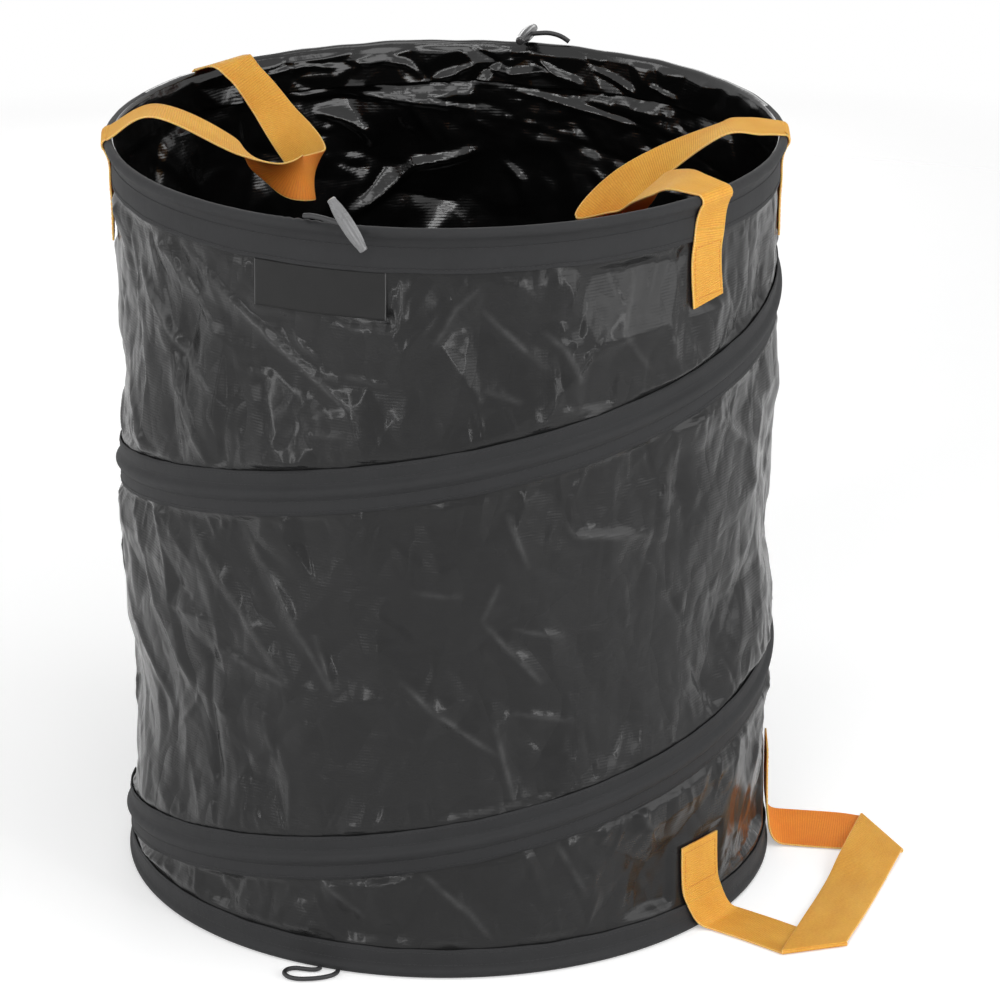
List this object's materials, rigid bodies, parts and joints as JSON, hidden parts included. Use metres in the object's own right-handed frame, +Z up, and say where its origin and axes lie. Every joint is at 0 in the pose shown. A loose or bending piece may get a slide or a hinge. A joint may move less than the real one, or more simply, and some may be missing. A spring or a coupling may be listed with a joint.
{
  "type": "pop-up garden waste bag",
  "caption": "Free-standing round fabric bag held open by a spiral of spring wire, with webbing handles at the rim and one at the foot.",
  "frame": {"origin": "centre of the base panel's underside, on the ground", "axes": "+Z up the bag; -Y towards the front with the label patch; +X towards the side with the foot handle"},
  "size_m": [0.6997, 0.6418, 0.7006],
  "materials": {
    "coated_fabric": "dark charcoal woven polyethylene with a glossy laminated coating",
    "binding_tape": "matte charcoal woven tape",
    "orange_webbing": "golden orange polypropylene webbing with fine cross ribs",
    "spring_steel": "drawn spring steel wire",
    "label_patch": "plain black woven patch",
    "black_cord": "black braided elastic cord",
    "toggle_plastic": "satin grey moulded plastic with fine ridges"
  },
  "bodies": {
    "base": {"base_panel": "coated_fabric", "base_binding": "binding_tape", "base_ring_wire": "spring_steel", "base_ring_ferrule": "spring_steel", "wall_panel": "coated_fabric", "spiral_tape": "binding_tape", "spiral_wire": "spring_steel", "label_patch": "label_patch", "base_handle_front_end": "orange_webbing", "base_handle_back_end": "orange_webbing"},
    "rim": {"rim_binding": "binding_tape", "rim_ring_wire": "spring_steel", "rim_ring_ferrule": "spring_steel", "right_handle_back_end": "orange_webbing", "right_handle_front_end": "orange_webbing", "left_handle_front_end": "orange_webbing", "left_handle_back_end": "orange_webbing"},
    "right_handle": {"right_handle_loop": "orange_webbing"},
    "left_handle": {"left_handle_loop": "orange_webbing"},
    "base_handle": {"base_handle_loop": "orange_webbing"},
    "front_cord": {"front_cord": "black_cord"},
    "front_toggle": {"front_toggle": "toggle_plastic"},
    "back_cord": {"back_cord": "black_cord"},
    "back_toggle": {"back_toggle": "toggle_plastic"},
    "front_base_loop": {"front_base_loop": "black_cord"},
    "back_base_loop": {"back_base_loop": "black_cord"}
  },
  "joints": [
    {"name": "collapse", "type": "slide", "parent": "base", "child": "rim", "axis": [0, 0, -1], "range_m": [0, 0.56], "stiffness_N_per_m": 60, "springref_m": -0.25, "deforming": ["wall_panel", "spiral_tape", "spiral_wire", "label_patch", "right_handle_back_end", "right_handle_front_end", "left_handle_front_end", "left_handle_back_end", "base_handle_front_end", "base_handle_back_end"]},
    {"name": "right_handle_swing", "type": "hinge", "parent": "rim", "child": "right_handle", "pos_m": [0.25796, -0.0045, 0.674], "axis": [0.0174, 0.9998, 0], "range_deg": [0, 165]},
    {"name": "left_handle_swing", "type": "hinge", "parent": "rim", "child": "left_handle", "pos_m": [-0.251, 0, 0.682], "axis": [0, -1, 0], "range_deg": [0, 165]},
    {"name": "base_handle_swing", "type": "hinge", "parent": "base", "child": "base_handle", "pos_m": [0.3, 0, 0.0045], "axis": [0, 1, 0], "range_deg": [-85, 0]},
    {"name": "front_cord_swing", "type": "hinge", "parent": "rim", "child": "front_cord", "pos_m": [-0.015, -0.29, 0.6757], "axis": [-1, 0, 0], "range_deg": [-8, 150]},
    {"name": "front_toggle_turn", "type": "hinge", "parent": "front_cord", "child": "front_toggle", "pos_m": [0.0285, -0.3045, 0.677], "axis": [0.9622, -0.2714, -0.0247], "range_deg": [-45, 5]},
    {"name": "back_cord_swing", "type": "hinge", "parent": "rim", "child": "back_cord", "pos_m": [0.0135, 0.29, 0.6757], "axis": [1, 0, 0], "range_deg": [-30, 8]},
    {"name": "back_toggle_turn", "type": "hinge", "parent": "back_cord", "child": "back_toggle", "pos_m": [-0.0245, 0.281, 0.6815], "axis": [-0.9705, -0.2018, -0.132], "range_deg": [-45, 3]},
    {"name": "front_loop_swing", "type": "hinge", "parent": "base", "child": "front_base_loop", "pos_m": [0, -0.293, 0.0024], "axis": [-1, 0, 0], "range_deg": [0, 75]},
    {"name": "back_loop_swing", "type": "hinge", "parent": "base", "child": "back_base_loop", "pos_m": [0, 0.293, 0.0024], "axis": [1, 0, 0], "range_deg": [0, 75]}
  ]
}
